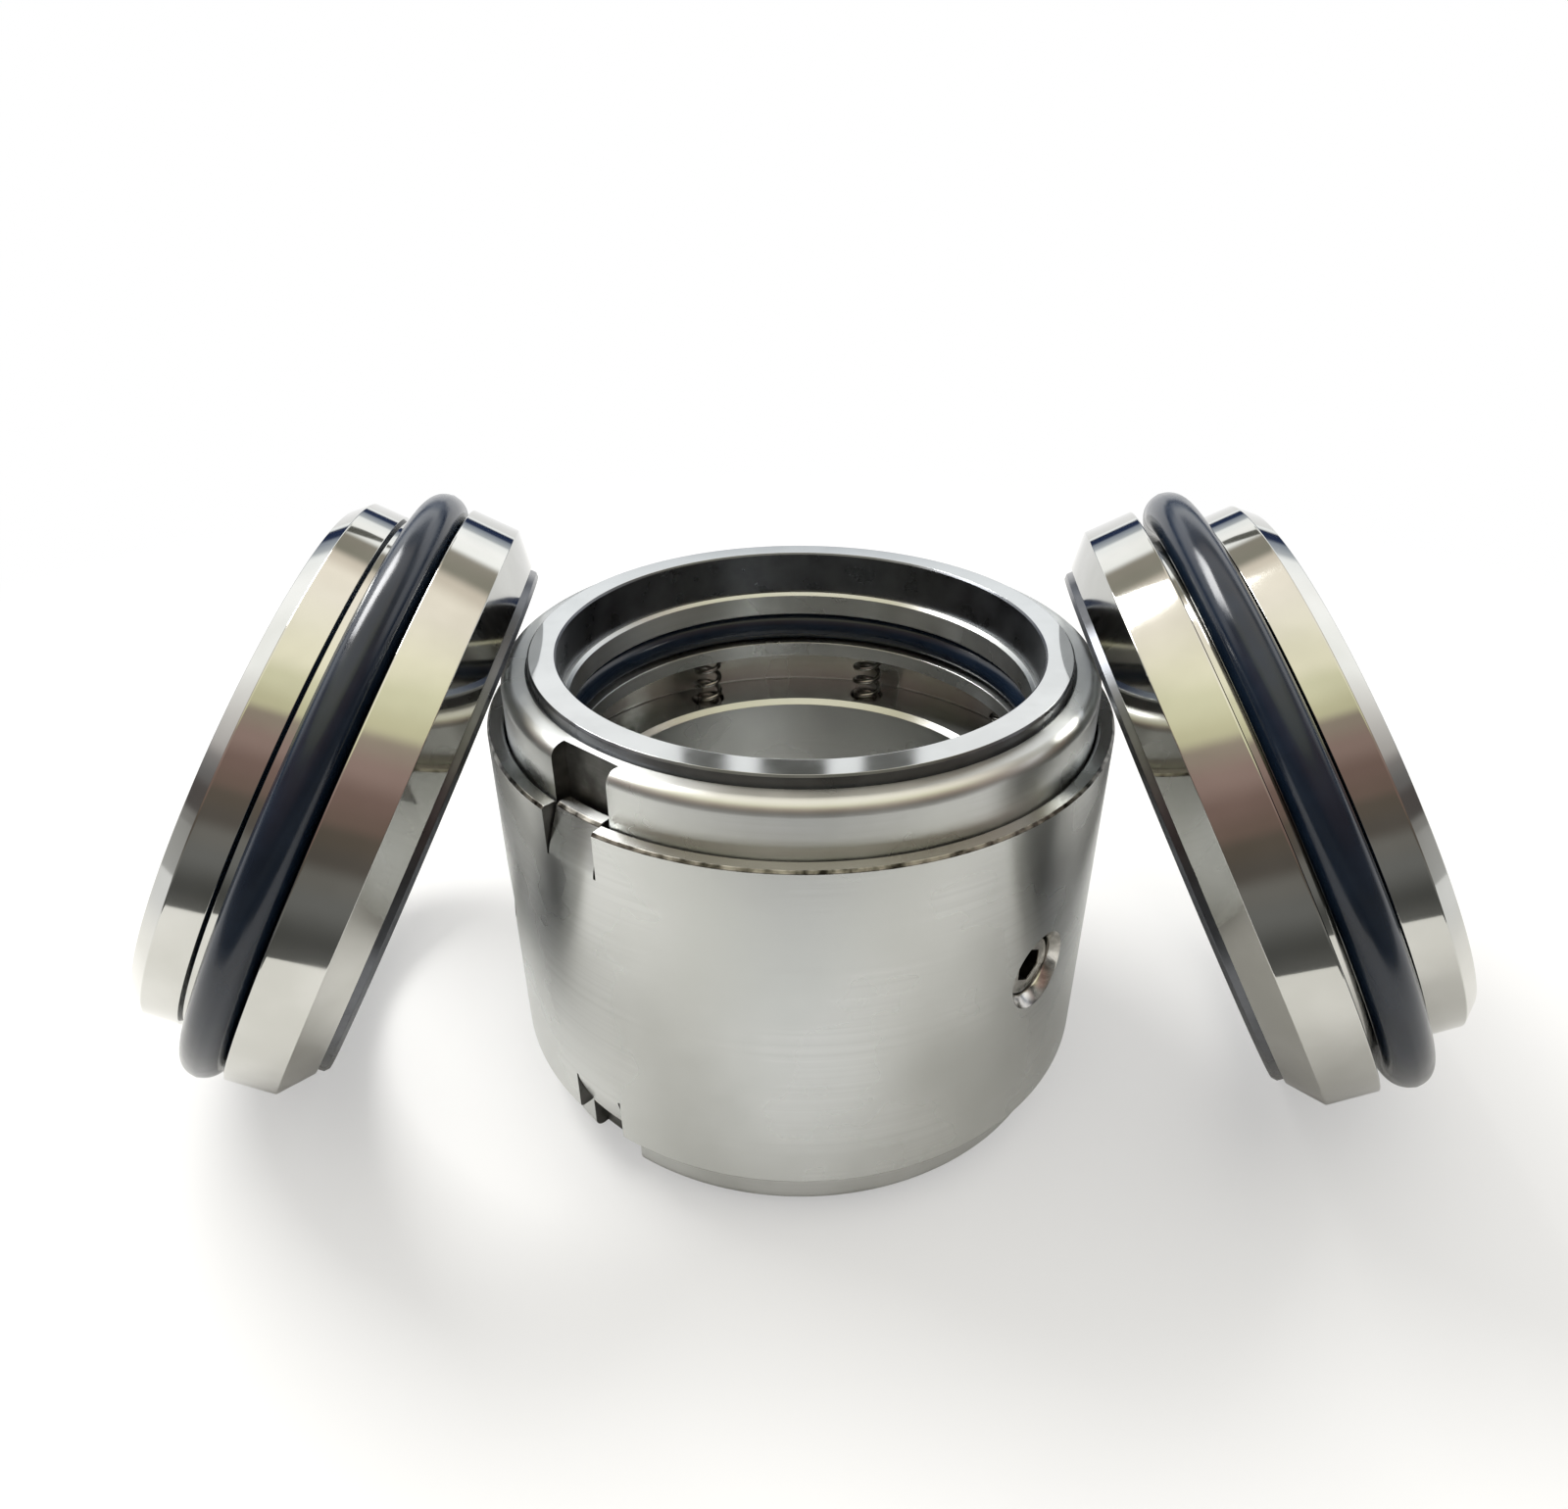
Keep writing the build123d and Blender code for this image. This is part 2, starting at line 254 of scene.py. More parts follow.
def finishPiece(piece, materials, slot, body, *nodes):
    for material in materials:
        piece.data.materials.append(material)
    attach(piece, body)
    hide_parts(*nodes)
    return piece


def linear(hexColour):
    # sRGB hex to linear RGBA
    value = np.array([int(hexColour[k:k + 2], 16) for k in (1, 3, 5)]) / 255
    value = np.where(value <= 0.04045, value / 12.92, ((value + 0.055) / 1.055) ** 2.4)
    return (*value.tolist(), 1.0)


def addNode(tree, kind, links=None, out=0, stops=(), **settings):
    # A node with its settings. links fills its inputs with constants or with other nodes' outputs, stops
    # fill a colour ramp, and the output that out names comes back, or the node itself where out is None.
    node = tree.nodes.new("ShaderNode" + kind)
    for key, value in settings.items():
        setattr(node, key, value)
    for key, value in (links or {}).items():
        if isinstance(value, bpy.types.NodeSocket):
            tree.links.new(value, node.inputs[key])
        else:
            node.inputs[key].default_value = value
    if stops:
        elements = node.color_ramp.elements
        while len(elements) < len(stops):
            elements.new(0.5)
        for element, (position, colour) in zip(elements, stops):
            element.position = position
            element.color = linear(colour)
    return node.outputs[out] if out is not None and len(node.outputs) else node


def newMaterial(name):
    material = bpy.data.materials.new(name)
    material.use_nodes = True
    material.node_tree.nodes.clear()
    return material, material.node_tree


def turnedMetal(name, look):
    # Turned or ground metal: fine rings that follow the tool and show in some patches more than in others.
    # The gloss spreads across the rings. Slow clouds of handling vary the roughness and the colour.
    # Rings are drawn coarser than a real feed of about 0.1 mm, because those would be too fine to show.
    # The rings' grooves also darken the colour: painted shade in the grooves.
    material, tree = newMaterial(name)
    place = addNode(tree, "TexCoord", out="Object")
    uvMap = addNode(tree, "UVMap", uv_map="turned")
    along = addNode(tree, "SeparateXYZ", {"Vector": uvMap}, "Y")
    fine = addNode(tree, "Math", {0: along, 1: 1 / (look["ringPitch"] * mm)}, operation="MULTIPLY")
    rings = addNode(tree, "TexNoise", {"W": fine, "Scale": 1.0, "Detail": 2.0, "Roughness": 0.6},
            noise_dimensions="1D")
    clouds = addNode(tree, "TexNoise", {"Vector": place, "Scale": 1 / (look["cloudSize"] * mm),
            "Detail": 3.0})
    cloud = addNode(tree, "MapRange", {"Value": clouds, "From Min": 0.28, "From Max": 0.72},
            interpolation_type="SMOOTHSTEP")
    patches = addNode(tree, "MapRange", {"Value": cloud, "From Min": 0.4, "From Max": 0.85, "To Min": 0.2,
            "To Max": 1.0}, interpolation_type="SMOOTHSTEP")
    centred = addNode(tree, "Math", {0: rings, 1: 0.5}, operation="SUBTRACT")
    grooves = addNode(tree, "Math", {0: centred, 1: patches}, operation="MULTIPLY")
    # the grooves darken the colour as painted shade; the cloud is real handling
    shade = addNode(tree, "Math", {0: grooves, 1: -look["grooveShade"], 2: cloud}, operation="MULTIPLY_ADD")
    colour = addNode(tree, "Mix", {"Factor": shade, "A": linear(look["dull"]), "B": linear(look["bright"])},
            "Result", data_type="RGBA")
    rough = addNode(tree, "MapRange", {"Value": cloud, "From Min": 0.0, "From Max": 1.0,
            "To Min": look["rough"][0], "To Max": look["rough"][1]})
    bump = addNode(tree, "Bump", {"Height": grooves, "Strength": look["ringStrength"],
            "Distance": look["ringDepth"] * mm})
    tangent = addNode(tree, "Tangent", direction_type="UV_MAP", uv_map="turned")
    shader = addNode(tree, "BsdfPrincipled", {"Base Color": colour, "Metallic": 1.0, "Roughness": rough,
            "Normal": bump, "Anisotropic": look["anisotropy"], "Anisotropic Rotation": 0.25,
            "Tangent": tangent})
    addNode(tree, "OutputMaterial", {"Surface": shader})
    return material


def rubberMaterial(name, look):
    # Moulded fluoroelastomer: nearly black with a blue cast, and a satin skin from the mould.
    material, tree = newMaterial(name)
    place = addNode(tree, "TexCoord", out="Object")
    grain = addNode(tree, "TexNoise", {"Vector": place, "Scale": 1 / (look["grain"] * mm), "Detail": 4.0})
    clouds = addNode(tree, "TexNoise", {"Vector": place, "Scale": 1 / (look["cloudSize"] * mm),
            "Detail": 2.0})
    colour = addNode(tree, "Mix", {"Factor": clouds, "A": linear(look["dark"]), "B": linear(look["light"])},
            "Result", data_type="RGBA")
    rough = addNode(tree, "MapRange", {"Value": clouds, "From Min": 0.3, "From Max": 0.7,
            "To Min": look["rough"][0], "To Max": look["rough"][1]})
    bump = addNode(tree, "Bump", {"Height": grain, "Strength": 0.25, "Distance": look["grainDepth"] * mm})
    shader = addNode(tree, "BsdfPrincipled", {"Base Color": colour, "Roughness": rough, "IOR": 1.5,
            "Normal": bump})
    addNode(tree, "OutputMaterial", {"Surface": shader})
    return material


turnedSteel = turnedMetal("turnedStainless", {        # satin grey, gloss drawn out across the rings
    "bright": "#D9DBD9", "dull": "#C6C8C5", "rough": (0.23, 0.29), "anisotropy": 0.9,
    "ringPitch": 0.9, "ringDepth": 0.008, "ringStrength": 0.3, "grooveShade": 0.8, "cloudSize": 18})
groundSteel = turnedMetal("groundStainless", {        # a little finer than the drum
    "bright": "#DADCDB", "dull": "#C8CAC7", "rough": (0.26, 0.34), "anisotropy": 0.88,
    "ringPitch": 0.6, "ringDepth": 0.006, "ringStrength": 0.3, "grooveShade": 0.6, "cloudSize": 12})
polishedSteel = turnedMetal("polishedStainless", {    # nearly a mirror
    "bright": "#CBCBC7", "dull": "#BEBEB9", "rough": (0.05, 0.085), "anisotropy": 0.3,
    "ringPitch": 0.12, "ringDepth": 0.002, "ringStrength": 0.15, "grooveShade": 0.2, "cloudSize": 12})
milledSteelAndShade = turnedMetal("milledStainlessAndShade", {        # cut faces of slots: dull, and darker as painted shade in the slots
    "bright": "#858582", "dull": "#5C5C59", "rough": (0.38, 0.5), "anisotropy": 0.2,
    "ringPitch": 0.3, "ringDepth": 0.01, "ringStrength": 0.4, "grooveShade": 0.5, "cloudSize": 3})
boredSteelAndShade = turnedMetal("boredStainlessAndShade", {          # inside of the seats: coarse and dull, and darker as painted shade inside the bore
    "bright": "#62615E", "dull": "#504F4D", "rough": (0.4, 0.5), "anisotropy": 0.3,
    "ringPitch": 0.5, "ringDepth": 0.02, "ringStrength": 0.5, "grooveShade": 0.5, "cloudSize": 12})
burredEdge = turnedMetal("burredStainless", {         # the rim's broken edge, torn and stained in places
    "bright": "#B5B3AC", "dull": "#23211E", "rough": (0.3, 0.5), "anisotropy": 0.0,
    "ringPitch": 0.2, "ringDepth": 0.02, "ringStrength": 0.6, "grooveShade": 0.3, "cloudSize": 1.6})
lappedCarbide = turnedMetal("lappedCarbide", {        # lapped flat, a cool mirror
    "bright": "#BEC0C0", "dull": "#B5B7B7", "rough": (0.06, 0.09), "anisotropy": 0.0,
    "ringPitch": 0.2, "ringDepth": 0.001, "ringStrength": 0.05, "grooveShade": 0.0, "cloudSize": 6})
sinteredCarbideAndShade = turnedMetal("sinteredCarbideAndShade", {    # ground but not lapped: charcoal carbide, and darker still as painted shade on the nose's wall
    "bright": "#6A6C70", "dull": "#5C5E62", "rough": (0.26, 0.34), "anisotropy": 0.6,
    "ringPitch": 0.12, "ringDepth": 0.002, "ringStrength": 0.25, "grooveShade": 0.3, "cloudSize": 4})
springWire = turnedMetal("drawnStainlessWire", {      # drawn wire, even gloss
    "bright": "#C4C2BE", "dull": "#A9A7A3", "rough": (0.2, 0.28), "anisotropy": 0.0,
    "ringPitch": 0.2, "ringDepth": 0.002, "ringStrength": 0.2, "grooveShade": 0.2, "cloudSize": 2})
screwSteel = turnedMetal("stainlessScrew", {          # rolled thread and machined end, bright
    "bright": "#E0DED9", "dull": "#A5A39E", "rough": (0.14, 0.26), "anisotropy": 0.0,
    "ringPitch": 0.3, "ringDepth": 0.02, "ringStrength": 0.5, "grooveShade": 0.3, "cloudSize": 1.5})
socketShadeSteel = turnedMetal("socketPaintedShade", {   # the hex socket nearly black: painted shade inside the socket
    "bright": "#2B2926", "dull": "#131210", "rough": (0.4, 0.55), "anisotropy": 0.0,
    "ringPitch": 0.3, "ringDepth": 0.01, "ringStrength": 0.3, "grooveShade": 0.2, "cloudSize": 1})
ringRubber = rubberMaterial("mouldedFluoroelastomer", {      # nearly black and satin
    "dark": "#0E1724", "light": "#1C2A3C", "rough": (0.14, 0.24), "grain": 0.12, "grainDepth": 0.006,
    "cloudSize": 5})
print("materials made")


drumLow, drumHigh = nodeBox("retainer_drum")
drumR = drumHigh[0]
rimLow, rimHigh = drumLow[2], drumHigh[2]
midHeight = (rimLow + rimHigh) / 2

drum = {
    "wall": 2.05,
    "webThickness": 13.0,
    "webBore": 30.05,
    "rimChamfer": 0.3,
    "webChamfer": 0.8,
    "edgeBend": 0.12,
    "columns": 400,
    "tabAzimuths": (231.0, 51.0),
    "tabWidth": 7.4,
    "tabHeight": 6.2,
    "tabPress": 1.85,
    "tabKerf": 0.35,
    "tabSoftness": 0.02,             # how gently a tab bends at its root
    "tabRows": (0.3, 0.6, 1.0, 1.6, 2.6, 3.8, 5.0),      # heights over the tab's root
    "pocketAzimuth": 26.2,
    "pocketCount": 8,
    "pocketRadius": 2.6,
    "pocketDepth": 1.6,
    "pocketEdge": 0.12,
    "pocketFoot": 0.1,
    "pocketPatch": 3.25,             # half the side of the cells that a pocket's rings replace
    "pocketPatchAngle": 5.5,
    "screwAzimuths": (316.0, 196.0),       # the solids have a third at 76, where the real web is plain
    "holeRadius": 4.05,
    "holeEdge": 0.1,
    "sinkRadius": 5.2,
    "sinkHalfAngle": 41.0,
    "holePatch": 6.4,                # half the height of the cells that a screw hole's rings replace
    "borePatch": 5.3,                # the same on the web's bore
    "holePatchAngle": 9.05,
}
boreR = drumR - drum["wall"]
webLow, webHigh = midHeight - drum["webThickness"] / 2, midHeight + drum["webThickness"] / 2
pocketCircle = (drum["webBore"] + boreR) / 2
pocketAzimuths = drum["pocketAzimuth"] + 360 / drum["pocketCount"] * np.arange(drum["pocketCount"])


def drumOutline():
    # up the outside, over the upper rim, down the inside past the web, and round the lower rim
    bend, rimC, webC, bore = drum["edgeBend"], drum["rimChamfer"], drum["webChamfer"], drum["webBore"]
    root, tabRows = drum["tabHeight"], np.array(drum["tabRows"])
    high, low = rimHigh - root, rimLow + root
    hole = np.linspace(-drum["holePatch"], drum["holePatch"], 17)
    inside = np.linspace(drum["borePatch"], -drum["borePatch"], 17)
    pocket = np.linspace(drum["pocketPatch"], -drum["pocketPatch"], 11)
    corners = [(drumR, low + 3, 0)] + [(drumR, midHeight + z, 0) for z in hole]
    corners += [(drumR, high, 0)] + [(drumR, high + z, 0) for z in tabRows]
    corners += [(drumR, rimHigh - rimC, bend), (drumR - rimC, rimHigh, bend), (boreR + rimC, rimHigh, bend),
                (boreR, rimHigh - rimC, bend)]
    corners += [(boreR, high + z, 0) for z in tabRows[::-1]] + [(boreR, high, 0)]
    corners += [(boreR, webHigh, 0.3)] + [(pocketCircle + q, webHigh, 0) for q in pocket]
    corners += [(bore + webC, webHigh, bend), (bore, webHigh - webC, bend)]
    corners += [(bore, midHeight + z, 0) for z in inside]
    corners += [(bore, webLow + webC, bend), (bore + webC, webLow, bend)]
    corners += [(pocketCircle - q, webLow, 0) for q in pocket] + [(boreR, webLow, 0.3)]
    corners += [(boreR, low, 0)] + [(boreR, low - z, 0) for z in tabRows]
    corners += [(boreR, rimLow + rimC, bend), (boreR + rimC, rimLow, bend), (drumR - rimC, rimLow, bend),
                (drumR, rimLow + rimC, bend)]
    corners += [(drumR, low - z, 0) for z in tabRows[::-1]] + [(drumR, low, 0)]
    return roundedLoop(corners)


def pressTabs(surface, tabHalf, kerf):
    # Between two saw cuts the wall leans in: radius -= press ramp(height over the root), a smoothed line.
    outline, soft = surface.outline, drum["tabSoftness"]
    for way, rim in ((1, rimHigh), (-1, rimLow)):
        rootZ = rim - way * drum["tabHeight"]
        row0, row1 = sorted((rowAt(outline, drumR, rootZ), rowAt(outline, boreR, rootZ)))
        over = np.clip((outline[:, 1] - rootZ) * way / drum["tabHeight"], 0, 1)
        ramp = (np.sqrt(over ** 2 + soft) - np.sqrt(soft)) / (np.sqrt(1 + soft) - np.sqrt(soft))
        scale = (1 - drum["tabPress"] * ramp / outline[:, 0])[row0:row1 + 1, None, None]
        for azimuth in drum["tabAzimuths"]:
            edges = (-tabHalf - kerf, -tabHalf, tabHalf, tabHalf + kerf)
            cols = [surface.column(azimuth + edge) for edge in edges]
            surface.points[row0:row1 + 1, cols[1]:cols[2] + 1, :2] *= scale
            # the saw cuts' faces take the darker milled steel: painted shade in the kerfs
            surface.notch(row0, row1, cols[0], cols[1], 1)
            surface.notch(row0, row1, cols[2], cols[3], 1)


def sinkPockets(surface):
    # Blind round pockets for the springs in both faces of the web. From the edge of the cells a ring is
    # edge (1 - w) + radius (cos p, sin p) w, and from the rim of the pocket it goes down with the depth.
    radius, depth = drum["pocketRadius"], drum["pocketDepth"]
    bend, foot = drum["pocketEdge"], drum["pocketFoot"]
    for face, way in ((webHigh, 1), (webLow, -1)):
        reach = way * drum["pocketPatch"]
        rows = [rowAt(surface.outline, pocketCircle + s * reach, face) for s in (1, -1)]
        for azimuth in pocketAzimuths:
            cols = [surface.column(azimuth + s * drum["pocketPatchAngle"]) for s in (-1, 1)]
            loop = surface.opening(*rows, *cols)
            out, side = outAndSide(azimuth)
            spots = surface.spots(loop)[:, :2]
            flat = np.stack([spots @ out - pocketCircle, spots @ side], 1)
            phi = np.arctan2(flat[:, 1], flat[:, 0])
            circle = np.stack([np.cos(phi), np.sin(phi)], 1)
            rings = [(flat * (1 - w) + circle * (radius + bend * 1.5) * w, 0.0) for w in (0.45, 0.8, 1.0)]
            rings += [(circle * (radius + bend), 0.0), (circle * radius, bend),
                      (circle * radius, depth - foot), (circle * (radius - foot), depth)]
            last = surface.bands(loop, [np.column_stack([(t[:, :1] + pocketCircle) * out + t[:, 1:] * side,
                                                         np.full(len(t), face - way * down)])
                                        for t, down in rings])
            surface.polygons.append((list(last), 0))


def holePoints(azimuth, flat, distance):
    # points (t, s) of a screw hole's plane: distance out + t side from the drum's axis, s over mid-height
    out, side = outAndSide(azimuth)
    return np.column_stack([distance * out + flat[:, :1] * side, flat[:, 1] + midHeight])


def onShell(flat, radius):
    # distance out at which sideways t lies on a cylinder about the drum's axis: sqrt(R^2 - t^2)
    return np.sqrt(radius ** 2 - flat[:, :1] ** 2)


def drillHoles(surface):
    # Countersunk screw holes towards the axis. The countersink meets the drum's outside where
    # rho = sink - slope (R - sqrt(R^2 - (rho cos phi)^2)), found by repeated substitution.
    outline, bore = surface.outline, drum["webBore"]
    hole, sink, bend = drum["holeRadius"], drum["sinkRadius"], drum["holeEdge"]
    patch, borePatch = drum["holePatch"], drum["borePatch"]
    slope = np.tan(np.radians(drum["sinkHalfAngle"]))
    shoulder = drumR - (sink - hole) / slope
    outerRows = [rowAt(outline, drumR, midHeight + s * patch) for s in (-1, 1)]
    innerRows = [rowAt(outline, bore, midHeight + s * borePatch) for s in (1, -1)]
    for azimuth in drum["screwAzimuths"]:
        side = outAndSide(azimuth)[1]
        cols = [surface.column(azimuth + s * drum["holePatchAngle"]) for s in (-1, 1)]
        loops = [surface.opening(*rows, *cols) for rows in (outerRows, innerRows)]
        flat, flatIn = [np.stack([spots[:, :2] @ side, spots[:, 2] - midHeight], 1)
                        for spots in map(surface.spots, loops)]
        phi = np.arctan2(flat[:, 1], flat[:, 0])
        circle = np.stack([np.cos(phi), np.sin(phi)], 1)
        edge = np.full(len(phi), sink)
        for _ in range(4):
            edge = sink - slope * (drumR - np.sqrt(drumR ** 2 - (edge * np.cos(phi)) ** 2))
        edge = edge[:, None]
        blends = [flat * (1 - w) + circle * (edge + 0.08) * w for w in (0.4, 0.75, 1.0)]
        rim = surface.bands(loops[0], [holePoints(azimuth, t, onShell(t, drumR)) for t in blends])
        last = surface.bands(rim, [
            holePoints(azimuth, circle * (edge - bend), drumR - (sink - edge + bend) / slope),
            holePoints(azimuth, circle * (hole + bend), shoulder + bend / slope),
            holePoints(azimuth, circle * hole, shoulder - bend),
            holePoints(azimuth, circle * hole, shoulder - 3.0)], 3)
        # the same spokes on the web's bore, which runs the other way round
        start = int(np.argmin(np.hypot(*(flatIn / borePatch - flat[0] / patch).T)))
        order = (start - np.arange(len(phi))) % len(phi)
        spokes = np.empty_like(circle)
        spokes[order] = circle
        blends = [flatIn * (1 - w) + spokes * (hole + 0.15) * w for w in (0.4, 0.8, 1.0)]
        rimIn = surface.bands(loops[1], [holePoints(azimuth, t, onShell(t, bore)) for t in blends])
        mouth = spokes * hole
        # the hole's inside at the bore takes the darker milled steel: painted shade in the hole
        deep = surface.bands(rimIn, [holePoints(azimuth, mouth, onShell(mouth, bore + 0.15))], 1)
        surface.band(last, deep[order], 1)


def makeDrum():
    # the outline turned about the axis, with the tabs pressed in and the pockets and holes cut
    outline, rimC = drumOutline(), drum["rimChamfer"]
    tabHalf = np.degrees(drum["tabWidth"] / drumR) / 2
    kerf = np.degrees(drum["tabKerf"] / drumR)
    spread = [(drum["tabAzimuths"], (tabHalf, tabHalf + kerf)),
              (drum["screwAzimuths"], (drum["holePatchAngle"],)),
              (pocketAzimuths, (drum["pocketPatchAngle"],))]
    exact = [a + s * e for azimuths, edges in spread for a in azimuths for s in (-1, 1) for e in edges]
    surface = Surface(outline, columns(drum["columns"], exact))
    middle = (outline + np.roll(outline, -1, axis=0)) / 2
    over = np.maximum(middle[:, 1] - rimHigh, rimLow - middle[:, 1]) + rimC
    surface.marks[(middle[:, 0] > drumR - rimC - 0.05) & (over > -0.05)] = 2      # the rims' outer chamfers
    pressTabs(surface, tabHalf, kerf)
    sinkPockets(surface)
    drillHoles(surface)
    return surface


drumPiece = turnedPiece("drumShell", makeDrum())
finishPiece(drumPiece, (turnedSteel, milledSteelAndShade, burredEdge, screwSteel), "drum_steel", "drum",
            "retainer_drum")
print("drum made")


screw = {
    "radius": 4.0,
    "length": 7.6,
    "inset": 1.5,
    "pitch": 1.25,
    "threadDepth": 0.45,
    "flats": 4.0,
    "socketDepth": 4.0,
    "point": 1.2,
    "edgeCut": 0.62,
    "rowStep": 0.1,
    "sides": 72,
}


def makeScrew(azimuth):
    # Local frame: z outwards along the screw. The thread's radius is outer - depth ridge(p), where
    # p = (z / pitch - a / 2 pi) mod 1. The socket's rows follow a hexagon, r = flats / 2 / cos(a'), where
    # a' = (a + 30) mod 60 - 30.
    sides, outer, length, depth = screw["sides"], screw["radius"], screw["length"], screw["socketDepth"]
    a = np.arange(sides) * 360.0 / sides
    z = np.arange(0, length + 1e-6, screw["rowStep"])
    wall = len(z)
    socket = screw["flats"] / 2
    thread = np.column_stack([np.full(wall, outer), z - length])
    outline = np.vstack([thread, [(socket * 1.16, 0), (socket * 1.02, 0), (socket, -0.15), (socket, -depth),
                                  (0.4, -depth - 0.9)]])
    grid = revolve(outline, a)
    height = outline[:wall, 1:]
    phase = (height / screw["pitch"] - a[None] / 360) % 1
    ridge = np.clip(np.abs(phase - 0.5) * 2 * 1.25 - 0.12, 0, 1)
    edgeCut = np.clip((0.55 + height) / -0.55 + 1, 0, 1) * screw["edgeCut"]
    pointCut = np.clip((screw["point"] - (height + length)) / screw["point"], 0, 1) * screw["point"]
    radius = np.minimum(outer - screw["threadDepth"] * ridge, outer - np.maximum(edgeCut, pointCut))
    grid[:wall, :, :2] *= (radius / outer)[..., None]
    hexagon = 1 / np.cos(np.radians((a + 30) % 60 - 30))
    grid[wall + 1:wall + 4, :, :2] *= hexagon[:, None]
    surface = Surface(outline, a, grid)
    # the socket's rows are painted nearly black: painted shade inside the socket
    surface.marks[wall + 2:] = 1
    last = len(outline) - 1
    surface.cut(last, last + 1, 0, sides)
    surface.polygons.append((list(surface.index(last, np.arange(sides))), 1))
    surface.polygons.append((list(surface.index(0, np.arange(sides)[::-1])), 0))
    out, side = [np.append(vector, 0) for vector in outAndSide(azimuth)]
    turn = np.column_stack([side, [0, 0, 1], out])
    return turnedPiece(f"setScrew{int(azimuth)}", surface, turn,
                       out * (drumR - screw["inset"]) + np.array([0, 0, midHeight]))


for azimuth in drum["screwAzimuths"]:
    finishPiece(makeScrew(azimuth), (screwSteel, socketShadeSteel), "screw_steel", "drum", "set_screws")
print("set screws made")


face = {                        # heights from the drum's rim, outwards
    "shoulderHeight": 6.45,
    "shoulderRadius": 1.5,
    "holderWall": 3.45,
    "faceBore": 31.1,
    "insertDepth": 4.8,
    "noseHeight": 1.4,
    "noseChamfer": 0.25,
    "landRadius": 30.2,
    "landLength": 3.6,
    "grooveRadius": 34.9,
    "cord": 4.8,
    "thrustThickness": 2.2,
    "thrustEdge": 0.3,
    "slideClearance": 0.3,
    "slotWidth": 8.8,
    "slotFloor": -5.5,
    "slotWall": 35.9,
    "slotFade": 10.0,           # degrees over which the columns beside a slot go back to even
}
ringR = boreR - face["slideClearance"]
faceR = ringR - face["holderWall"]
insertSeat = face["shoulderHeight"] - face["insertDepth"]
landEnd = insertSeat - face["landLength"]
holderEnd = landEnd - face["cord"]
thrustEnd = holderEnd - face["thrustThickness"]


def endOutline(end, corners):
    # (radius, height outside the rim) at either end; the lower end's runs the other way round
    if end == "upper":
        return [(r, rimHigh + y, bend) for r, y, bend in corners]
    return [(r, rimLow - y, bend) for r, y, bend in corners[::-1]]


def makeHolder(end):
    # the holder's outline turned about the axis, with a straight slot milled for each tab
    shoulder, slotFloor, slotWall = face["shoulderHeight"], face["slotFloor"], face["slotWall"]
    land, groove = face["landRadius"], face["grooveRadius"]
    corners = [(ringR, holderEnd + 2, 0), (ringR, slotFloor, 0), (ringR, -2.0, 0), (ringR, 2.0, 0),
               (ringR, shoulder, face["shoulderRadius"]), (slotWall, shoulder, 0),
               (faceR + 0.35, shoulder, 0.08), (faceR, shoulder - 0.35, 0.08), (faceR, insertSeat, 0.08),
               (land + 0.45, insertSeat, 0.08), (land, insertSeat - 0.45, 0.08),
               (land, landEnd + 0.25, 0.06), (land + 0.25, landEnd, 0.06),
               (groove, landEnd, 0.3), (groove, holderEnd, 0.1), (ringR, holderEnd, 0.2)]
    outline = roundedLoop(endOutline(end, corners), steps=6)
    way, rim = (1, rimHigh) if end == "upper" else (-1, rimLow)
    edge = np.degrees(np.arcsin(face["slotWidth"] / 2 / ringR))
    azimuths = columns(360, [a + s * edge for a in drum["tabAzimuths"] for s in (-1, 1)])
    grid = azimuths + sum(flatSides(outline, azimuths, azimuth, edge, ringR, face["slotFade"])
                          for azimuth in drum["tabAzimuths"])
    points = revolve(outline, grid)
    # the row that a slot's back wall ends on bulges out to a straight line across the slot: x' = slotWall
    backRow = rowAt(outline, slotWall, rim + way * shoulder)
    nearest = np.min([np.abs(turnFrom(azimuths, azimuth)) for azimuth in drum["tabAzimuths"]], axis=0)
    bulge = slotWall / np.cos(np.radians(np.minimum(nearest, edge * 1.06)))
    points[backRow, :, :2] *= (bulge / outline[backRow, 0])[:, None]
    for azimuth in drum["tabAzimuths"]:
        out, side = outAndSide(azimuth)
        off = turnFrom(azimuths, azimuth)
        inside = np.abs(off) <= edge + 1e-6
        across = ringR * np.sin(np.radians(off[inside]))
        points[backRow, inside, :2] = slotWall * out + across[:, None] * side
    surface = Surface(outline, azimuths, points)
    rows = sorted((rowAt(outline, ringR, rim + way * slotFloor), backRow))
    for azimuth in drum["tabAzimuths"]:
        cols = surface.column(azimuth - edge), surface.column(azimuth + edge)
        line = surface.points[backRow, cols[0]:cols[1] + 1].copy()
        line[:, 2] = rim + way * slotFloor
        # the slot's faces take the darker milled steel: painted shade in the slot
        surface.pocket(*rows, *cols, line, 1)
    return surface


def markLapped(surface, height):
    # the cells that lie in the plane of the lapped face
    lapped = np.abs(surface.outline[:, 1] - height) < 0.02
    surface.marks[lapped & np.roll(lapped, -1)] = 1
    return surface


def makeInsert(end):
    # a ring of the outline's section, turned about the axis
    nose, chamfer, bore = face["shoulderHeight"] + face["noseHeight"], face["noseChamfer"], face["faceBore"]
    corners = [(faceR, insertSeat + 1, 0), (faceR, nose - chamfer, 0.05), (faceR - chamfer, nose, 0.05),
               (bore + chamfer, nose, 0.05), (bore, nose - chamfer, 0.05), (bore, insertSeat, 0.1),
               (faceR, insertSeat, 0.1)]
    surface = Surface(roundedLoop(endOutline(end, corners)), columns(320))
    # cells off the lapped face take the charcoal carbide, darker as painted shade on the nose's wall
    return markLapped(surface, rimHigh + nose if end == "upper" else rimLow - nose)


